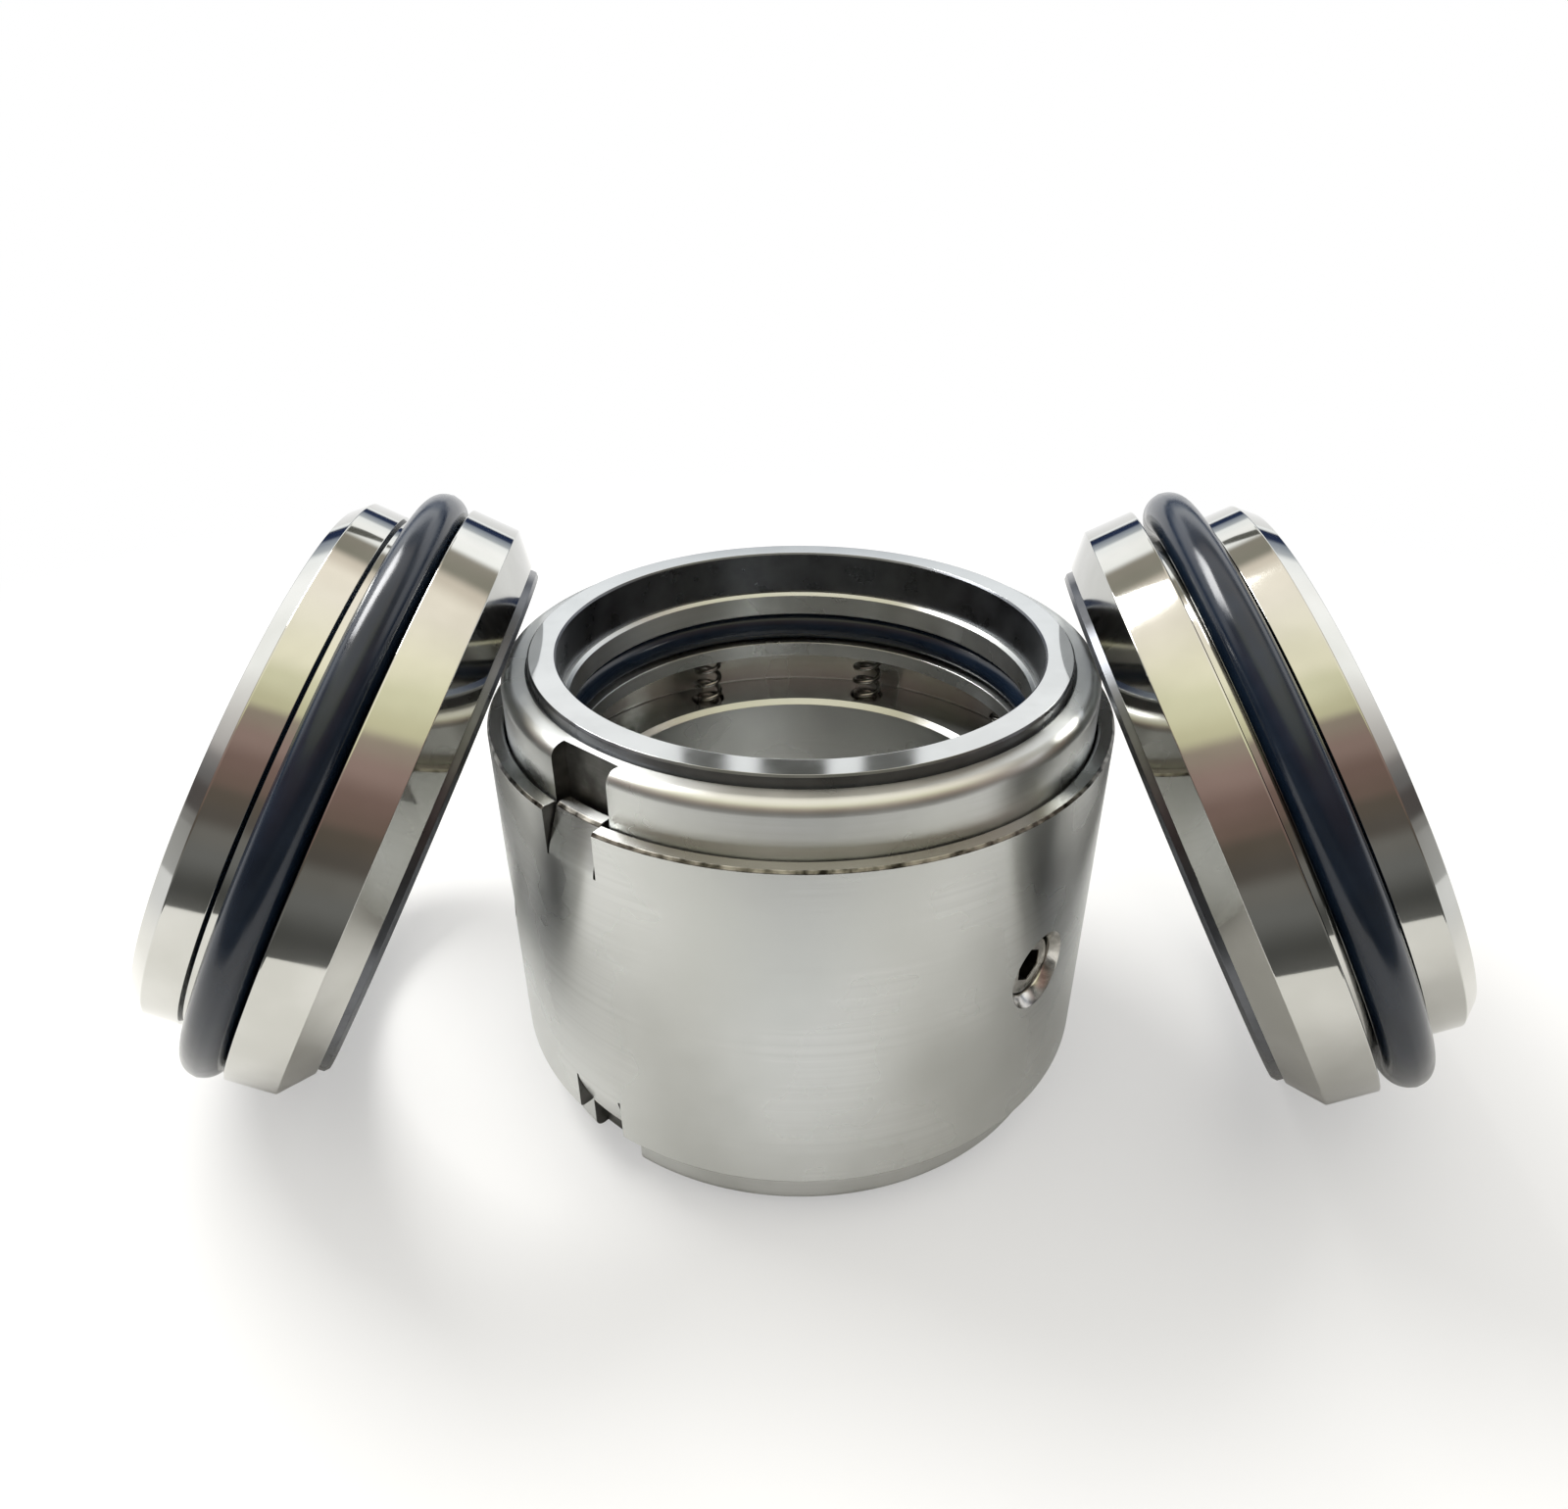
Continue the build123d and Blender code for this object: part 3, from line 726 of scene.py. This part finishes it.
def makeThrustRing(end):
    # a ring of the outline's section, turned about the axis
    inner, e = face["landRadius"], face["thrustEdge"]
    corners = [(ringR, thrustEnd + e, 0.08), (ringR, holderEnd - e, 0.08), (ringR - e, holderEnd, 0.08),
               (inner, holderEnd, 0.1), (inner, thrustEnd, 0.1), (ringR - e, thrustEnd, 0.08)]
    return Surface(roundedLoop(endOutline(end, corners)), columns(300))


def makeORing(radius, height, cord, count, flash=0.05):
    # A torus: (R + p cos t, h + p sin t), where p rises at the mould's parting lines, t = 0 and 180 degrees.
    degrees = np.arange(0, 360, 7.5)
    t = np.radians(degrees)
    p = cord / 2 * 0.999 + (np.exp(-((degrees + 90) % 180 - 90) ** 2 / 18) - 1) * flash
    return Surface(np.stack([radius + p * np.cos(t), height + p * np.sin(t)], 1), columns(count))


for end in ("upper", "lower"):
    low, high = nodeBox(f"{end}_shaft_oring")
    cord = high[2] - low[2]
    ring = makeORing(high[0] - cord / 2, (low[2] + high[2]) / 2, cord, 300)
    for name, surface, materials, slot, node in (
            ("Holder", makeHolder(end), (groundSteel, milledSteelAndShade), "holder_steel", "face_holder"),
            ("Insert", makeInsert(end), (sinteredCarbideAndShade, lappedCarbide), "face_carbide", "face_insert"),
            ("ShaftORing", ring, (ringRubber,), "oring_rubber", "shaft_oring"),
            ("ThrustRing", makeThrustRing(end), (groundSteel,), "holder_steel", "thrust_ring")):
        finishPiece(turnedPiece(end + name, surface), materials, slot, f"{end}_face", f"{end}_{node}")
print("face rings made")


coil = {
    "turns": 5.5,
    "closedTurns": 0.8,       # at each end, lying flat
    "easeTurns": 0.5,         # from the closed turns to the full rise
    "closedRise": 0.55,       # of a closed turn, in wire thicknesses
    "foot": 0.3,              # of the wire's centre over the ground end, in wire thicknesses
    "outer": 4.8,
    "wire": 0.8,
    "stepsPerTurn": 30,
    "wireSides": 12,
    "mapRound": 2.5,          # lengths of the texture map: round the wire, and along it for each turn
    "mapTurn": 12.6,
}


def makeSpring(end, number):
    # A wire carried along a helix, centre (c cos a, c sin a, z(a)), whose rise per turn falls to part of a
    # wire's thickness over the closed turns at each end. Ground flat: z stays within the spring's height.
    low, high = nodeBox(f"{end}_spring_{number}")
    height, wire, turns = high[2] - low[2], coil["wire"], coil["turns"]
    closed, foot = coil["closedTurns"], coil["wire"] * coil["foot"]
    eased = closed + coil["easeTurns"]
    turn = np.linspace(0, turns, int(turns * coil["stepsPerTurn"]) + 1)
    rate = np.interp(turn, [0, closed, eased, turns - eased, turns - closed, turns], [0, 0, 1, 1, 0, 0])
    between = (rate[1:] + rate[:-1]) / 2
    free = np.concatenate([[0], np.cumsum(between * np.diff(turn))])
    flatRise = wire * coil["closedRise"] * np.concatenate([[0], np.cumsum(1 - between) * np.diff(turn)])
    z = flatRise + free / free[-1] * (height - 2 * foot - flatRise[-1]) + foot
    a = 2 * np.pi * turn
    c = (coil["outer"] - wire) / 2
    path = np.stack([c * np.cos(a), c * np.sin(a), z], 1)
    ahead = np.gradient(path, axis=0)
    ahead /= np.linalg.norm(ahead, axis=1)[:, None]
    out = np.stack([np.cos(a), np.sin(a), 0 * a], 1)
    up = np.cross(ahead, out)
    t = 2 * np.pi * np.arange(coil["wireSides"]) / coil["wireSides"]
    ring = np.cos(t)[None, :, None] * out[:, None] + np.sin(t)[None, :, None] * up[:, None]
    grid = path[:, None] + wire / 2 * ring
    grid[..., 2] = np.clip(grid[..., 2], 0, height)
    grid[..., 2] = low[2] + grid[..., 2] if end == "upper" else high[2] - grid[..., 2]
    grid[..., :2] += outAndSide(pocketAzimuths[number - 1])[0] * pocketCircle
    rows, cols = grid.shape[:2]
    i, j = [index.ravel() for index in np.meshgrid(np.arange(rows - 1), np.arange(cols), indexing="ij")]
    cornerRow, cornerCol = i[:, None] + (0, 1, 1, 0), j[:, None] + (0, 0, 1, 1)
    quads = cornerRow * cols + cornerCol % cols
    uv = np.stack([cornerCol / cols * coil["mapRound"], turn[cornerRow] * coil["mapTurn"]], -1)
    caps = [list(range(cols)), list(range(rows * cols - 1, (rows - 1) * cols - 1, -1))]
    if end == "upper":
        quads, uv, caps = quads[:, ::-1], uv[:, ::-1], [cap[::-1] for cap in caps]
    uv = np.concatenate([uv.reshape(-1, 2), np.zeros((2 * cols, 2))])
    return newPiece(f"{end}Spring{number}", grid.reshape(-1, 3), quads.tolist() + caps, uv, sharpAngle=50)


for end in ("upper", "lower"):
    for number in range(1, drum["pocketCount"] + 1):
        piece = makeSpring(end, number)
        finishPiece(piece, (springWire,), "spring_steel", "drum", f"{end}_spring_{number}")
        low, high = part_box(f"{end}_spring_{number}")
        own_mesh(piece)
print("springs made")


seat = {                        # heights along the seat's own axis, from its lapped face
    "noseRadius": 37.3,
    "noseHeight": 1.4,
    "noseChamfer": 0.5,
    "insertBack": 6.2,
    "faceRadius": 37.9,
    "headRadius": 41.6,
    "chamferEnd": 4.85,
    "headEnd": 11.4,
    "grooveRadius": 36.45,
    "grooveEnd": 18.4,
    "grooveChamfer": 0.45,
    "tailRadius": 36.9,
    "tailEnd": 25.1,
    "tailChamfer": 2.0,
    "bore": 31.3,
    "boreEdge": 0.4,
    "insertEdge": 0.3,
    "pinSlot": 4.2,
    "pinSlotDepth": 3.8,
    "pinSlotAzimuth": 180,
    "slotFade": 8.0,
    "cord": 5.8,
    "ringGap": {"left": 0.1, "right": 1.1},
}


def seatFrame(side):
    # The seat's axis from the record's bore mount, its origin where that axis meets the lapped face.
    mount = next(m for m in frame["record"]["mounts"] if m["name"] == f"{side}_seat_bore")
    axis = np.array(mount["axis"], float)
    axis *= np.sign(axis[2]) / np.linalg.norm(axis)
    front = np.cross(axis, [0, 0, 1.0])
    front *= -np.sign(front[1]) / np.linalg.norm(front)
    origin = np.array(mount["pos_m"], float) / mm
    corners = frame["nodes"][f"{side}_seat_insert"].data.vertices
    spots = np.empty(len(corners) * 3, np.float32)
    corners.foreach_get("co", spots)
    lowest = ((spots.reshape(-1, 3) / mm - origin) @ axis).min()
    return np.column_stack([front, np.cross(axis, front), axis]), origin + axis * lowest


def makeSeatBody():
    # the outline turned about the seat's axis, with a straight slot for the pin sawn through the tail
    nose, tail, groove, bore = seat["noseRadius"], seat["tailRadius"], seat["grooveRadius"], seat["bore"]
    headEnd, grooveEnd = seat["headEnd"], seat["grooveEnd"]
    tailEnd, back = seat["tailEnd"], seat["insertBack"]
    chamfer, edgeBreak, slotZ = seat["tailChamfer"], seat["boreEdge"], tailEnd - seat["pinSlotDepth"]
    corners = [(seat["faceRadius"], seat["noseHeight"], 0.1), (seat["headRadius"], seat["chamferEnd"], 0.12),
               (seat["headRadius"], headEnd, 0.25), (groove, headEnd, 0.3), (groove, grooveEnd, 0.1),
               (tail, grooveEnd + seat["grooveChamfer"], 0.1), (tail, slotZ, 0),
               (tail, tailEnd - chamfer, 0.25), (tail - chamfer, tailEnd, 0.25),
               (bore + edgeBreak, tailEnd, 0.08), (bore, tailEnd - edgeBreak, 0.08),
               (bore, slotZ, 0), (bore, back, 0.05), (nose, back, 0.05), (nose, seat["noseHeight"], 0.06)]
    outline = roundedLoop(corners)
    azimuth, edge = seat["pinSlotAzimuth"], np.degrees(np.arcsin(seat["pinSlot"] / 2 / tail))
    azimuths = columns(400, (azimuth - edge, azimuth + edge))
    grid = azimuths + flatSides(outline, azimuths, azimuth, edge, tail, seat["slotFade"])
    surface = Surface(outline, azimuths, revolve(outline, grid))
    # the bore's rows take the dark bored steel: painted shade inside the seat
    surface.marks[rowAt(outline, bore, tailEnd - edgeBreak):rowAt(outline, bore, back)] = 2
    # the pin slot's faces take the darker milled steel: painted shade in the slot
    surface.notch(rowAt(outline, tail, slotZ), rowAt(outline, bore, slotZ), surface.column(azimuth - edge),
                  surface.column(azimuth + edge), 1)
    return surface


def makeSeatInsert():
    # a ring of the outline's section, turned about the seat's axis
    nose, chamfer, bore, edge = seat["noseRadius"], seat["noseChamfer"], seat["bore"], seat["insertEdge"]
    corners = [(nose, chamfer, 0.1), (nose, seat["insertBack"], 0.1), (bore, seat["insertBack"], 0.1),
               (bore, edge, 0.05), (bore + edge, 0.0, 0.05), (nose - chamfer, 0.0, 0.08)]
    return markLapped(Surface(roundedLoop(corners), columns(320)), 0)


for side in ("left", "right"):
    turn, origin = seatFrame(side)
    cord = seat["cord"]
    ringHeight = seat["headEnd"] + seat["ringGap"][side] + cord / 2
    ring = makeORing(seat["grooveRadius"] + cord / 2, ringHeight, cord, 340)
    for name, surface, materials, slot, node in (
            ("SeatBody", makeSeatBody(), (polishedSteel, milledSteelAndShade, boredSteelAndShade), "seat_steel", "seat_body"),
            ("SeatInsert", makeSeatInsert(), (sinteredCarbideAndShade, lappedCarbide), "face_carbide", "seat_insert"),
            ("SeatORing", ring, (ringRubber,), "oring_rubber", "seat_oring")):
        piece = turnedPiece(side + name, surface, turn, origin)
        finishPiece(piece, materials, slot, "drum", f"{side}_{node}")
print("seats made")


sheet = {                     # lengths in metres
    "colour": "#F3F2EF",
    "front": -0.125,
    "back": 0.6,
    "side": 0.6,
    "corner": 0.04,
    "lift": 0.42,             # share of plain white in straight views of the card, so its shadow is faint
    "mirrorLift": 0.75,       # a painted pool of light that only metal shows: share of plain white at its middle
    "poolPlace": (0.0, -0.085, 0.0),
    "poolRadius": 0.05,
    "whiteFrom": 0.12,
    "whiteAt": 0.3,
}


def makeCard():
    # A sheet of pale card under the object, with rounded corners: corner centre + r (cos a, sin a).
    r, side = sheet["corner"], sheet["side"]
    centres = [(side - r, sheet["back"] - r), (r - side, sheet["back"] - r), (r - side, sheet["front"] + r),
               (side - r, sheet["front"] + r)]
    outline = []
    for k, centre in enumerate(centres):
        a = np.radians(np.linspace(0, 90, 9) + 90 * k)
        outline.append(centre + r * np.stack([np.cos(a), np.sin(a)], 1))
    outline = np.vstack(outline)
    points = np.column_stack([outline, 0 * outline[:, 0]]) / mm
    card = newPiece("card", points, [list(range(len(outline)))])
    material, tree = newMaterial("paleCard")
    matt = addNode(tree, "BsdfPrincipled", {"Base Color": linear(sheet["colour"]), "Roughness": 0.8})
    # Away from the object it runs out into the plain white behind it, and near it straight views are lifted
    # towards that white. Metal shows it so too, with a painted pool of light in front of the drum.
    spot = addNode(tree, "TexCoord", out="Object")
    reach = addNode(tree, "VectorMath", {0: spot}, "Value", operation="LENGTH")
    path = addNode(tree, "LightPath", out=None).outputs
    straight = addNode(tree, "Math", {0: path["Is Camera Ray"], 1: path["Is Transmission Ray"]},
            operation="MAXIMUM")
    views = addNode(tree, "Math", {0: straight, 1: path["Is Glossy Ray"]}, operation="MAXIMUM")
    # a painted pool of light on the card, which only glossy views see
    pool = addNode(tree, "VectorMath", {0: spot, 1: sheet["poolPlace"]}, "Value", operation="DISTANCE")
    mirrored = addNode(tree, "MapRange", {"Value": pool, "From Min": sheet["poolRadius"], "From Max": 0.0,
            "To Max": sheet["mirrorLift"]}, interpolation_type="SMOOTHSTEP")
    lift = addNode(tree, "Mix", {"Factor": straight, "A": mirrored, "B": sheet["lift"]})
    away = addNode(tree, "MapRange", {"Value": reach, "From Min": sheet["whiteFrom"],
            "From Max": sheet["whiteAt"], "To Min": lift, "To Max": 1.0}, interpolation_type="SMOOTHSTEP")
    share = addNode(tree, "Math", {0: views, 1: away}, operation="MULTIPLY")
    white = addNode(tree, "Emission", {"Color": (1, 1, 1, 1), "Strength": 1.0})
    mix = addNode(tree, "MixShader", {0: share, 1: matt, 2: white})
    addNode(tree, "OutputMaterial", {"Surface": mix})
    card.data.materials.append(material)


room = {                      # colours by height above eye level, in degrees
    "near": [(-90, "#8A8A87"), (-30, "#636361"), (-18, "#4A4A48"), (-6, "#666664"), (2, "#6A6864"),
             (8, "#55504B"), (16, "#5A524A"), (21, "#6E5D55"), (28, "#76625B"), (37, "#8F7A73"),
             (45, "#93877B"), (49, "#C7C3A2"), (58, "#DAD7B8"), (64, "#F0EBD2"), (90, "#F2EDE0")],
    "far": [(-90, "#D9D9D6"), (-10, "#D9D9D6"), (7.5, "#E6E8E9"), (9, "#1C2742"), (13, "#27324C"),
            (15, "#8A919C"), (18.5, "#A9AEB4"), (21, "#F4F6F7"), (28, "#FFFFFF"), (34, "#FCFDFC"),
            (38, "#8F8A80"), (46, "#8A877C"), (51, "#D8CEC0"), (58, "#F6EEE0"), (90, "#F2EDE0")],
    "strength": 1.5,
    "saturation": 0.2,        # of what it throws on matt things, nearly neutral as after many bounces
    # window posts straight behind: where each starts, is dark, stays dark and ends, in shares of the span
    "posts": [(0.2, 0.215, 0.31, 0.33), (0.39, 0.41, 0.56, 0.58), (0.65, 0.67, 0.78, 0.8)],
    "postSpan": 12,           # degrees to either side of straight ahead
    "postHeights": (28.8, 29.6, 36),        # degrees: first seen, fully dark, and where they end
    "postColour": "#5C5C58",
}


def byHeight(stops):
    # places on a ramp of (sin(elevation) + 1) / 2
    return [(float((np.sin(np.radians(degrees)) + 1) / 2), colour) for degrees, colour in stops]


def makeRoom():
    # The room that lights the object and that its metal shows. The near side is dim up to eye level, then
    # warm walls and a cream ceiling. The far side is pale with two rows of windows. Straight views are white.
    world = bpy.data.worlds.new("room")
    bpy.context.scene.world = world
    world.use_nodes = True
    tree = world.node_tree
    tree.nodes.clear()
    direction = addNode(tree, "TexCoord", out="Generated")
    x, y, z = addNode(tree, "SeparateXYZ", {"Vector": direction}, None).outputs
    level = addNode(tree, "MapRange", {"Value": z, "From Min": -1.0, "From Max": 1.0})
    ramps = {}
    for part in ("near", "far"):
        ramps[part] = addNode(tree, "ValToRGB", {"Fac": level}, None, byHeight(room[part]))
        ramps[part].color_ramp.interpolation = "EASE"
    # dark window posts straight behind, seen in the polished face
    span = float(np.radians(room["postSpan"]))
    low, full, top = [float(np.sin(np.radians(degrees))) for degrees in room["postHeights"]]
    turn = addNode(tree, "Math", {0: x, 1: y}, operation="ARCTAN2")
    across = addNode(tree, "MapRange", {"Value": turn, "From Min": -span, "From Max": span})
    shades = [(0.0, "#000000")]
    for post in room["posts"]:
        shades += list(zip(post, ("#000000", "#FFFFFF", "#FFFFFF", "#000000")))
    post = addNode(tree, "ValToRGB", {"Fac": across}, None, shades)
    post.color_ramp.interpolation = "LINEAR"
    above = addNode(tree, "MapRange", {"Value": z, "From Min": low, "From Max": full})
    below = addNode(tree, "Math", {0: z, 1: top}, operation="LESS_THAN")
    behind = addNode(tree, "Math", {0: y, 1: 0.2}, operation="GREATER_THAN")
    mask = addNode(tree, "Math", {0: above, 1: below}, operation="MULTIPLY")
    mask = addNode(tree, "Math", {0: mask, 1: behind}, operation="MULTIPLY")
    mask = addNode(tree, "Math", {0: mask, 1: post.outputs["Color"]}, operation="MULTIPLY")
    far = addNode(tree, "Mix", {"Factor": mask, "A": ramps["far"].outputs["Color"],
            "B": linear(room["postColour"])}, "Result", data_type="RGBA")
    side = addNode(tree, "MapRange", {"Value": y, "From Min": -0.1, "From Max": 0.25})
    walls = addNode(tree, "Mix", {"Factor": side, "A": ramps["near"].outputs["Color"], "B": far}, "Result",
            data_type="RGBA")
    path = addNode(tree, "LightPath", out=None).outputs
    grey = addNode(tree, "HueSaturation", {"Color": walls, "Saturation": room["saturation"]})
    tone = addNode(tree, "Mix", {"Factor": path["Is Glossy Ray"], "A": grey, "B": walls}, "Result",
            data_type="RGBA")
    seen = addNode(tree, "Background", {"Color": tone, "Strength": room["strength"]})
    white = addNode(tree, "Background", {"Color": (1, 1, 1, 1), "Strength": 1.0})
    # metal shows the same white where the room lies behind the object and below eye level
    mirrored = addNode(tree, "Math", {0: path["Is Glossy Ray"], 1: path["Is Transmission Ray"]},
            operation="MAXIMUM")
    lowDown = addNode(tree, "Math", {0: z, 1: 0.1}, operation="LESS_THAN")
    backdrop = addNode(tree, "Math", {0: lowDown, 1: side}, operation="MULTIPLY")
    backdrop = addNode(tree, "Math", {0: backdrop, 1: mirrored}, operation="MULTIPLY")
    isWhite = addNode(tree, "Math", {0: path["Is Camera Ray"], 1: backdrop}, operation="MAXIMUM")
    surface = addNode(tree, "MixShader", {0: isWhite, 1: seen, 2: white})
    addNode(tree, "OutputWorld", {"Surface": surface})


lamp = {                      # a soft window light from the far left, in metres and watts
    "place": (-0.42, 0.34, 0.72),
    "size": (0.42, 0.3),
    "power": 6.0,
    "aim": (0, 0, 0.03),
}
view = {
    "lens": 25.36,
    "place": (0.0, -0.13094, 0.12127),
    "turn": (90 - 30.21, 0.12, 0.863),      # degrees
}


def addLampAndCamera():
    light = bpy.data.lights.new("keyWindow", "AREA")
    light.shape = "RECTANGLE"
    light.size, light.size_y = lamp["size"]
    light.energy = lamp["power"]
    holder = bpy.data.objects.new("keyWindow", light)
    holder.location = lamp["place"]
    holder.rotation_euler = (Vector(lamp["aim"]) - Vector(lamp["place"])).to_track_quat("-Z", "Y").to_euler()
    camera = bpy.data.cameras.new("camera")
    camera.lens = view["lens"]
    camera.sensor_width = 36
    cameraHolder = bpy.data.objects.new("camera", camera)
    cameraHolder.location = view["place"]
    cameraHolder.rotation_euler = Euler(np.radians(view["turn"]), "XYZ")
    for item in (holder, cameraHolder):
        bpy.context.scene.collection.objects.link(item)
    bpy.context.scene.camera = cameraHolder


makeCard()
makeRoom()
addLampAndCamera()
bpy.context.scene.view_settings.view_transform = "Standard"
print("stage made")
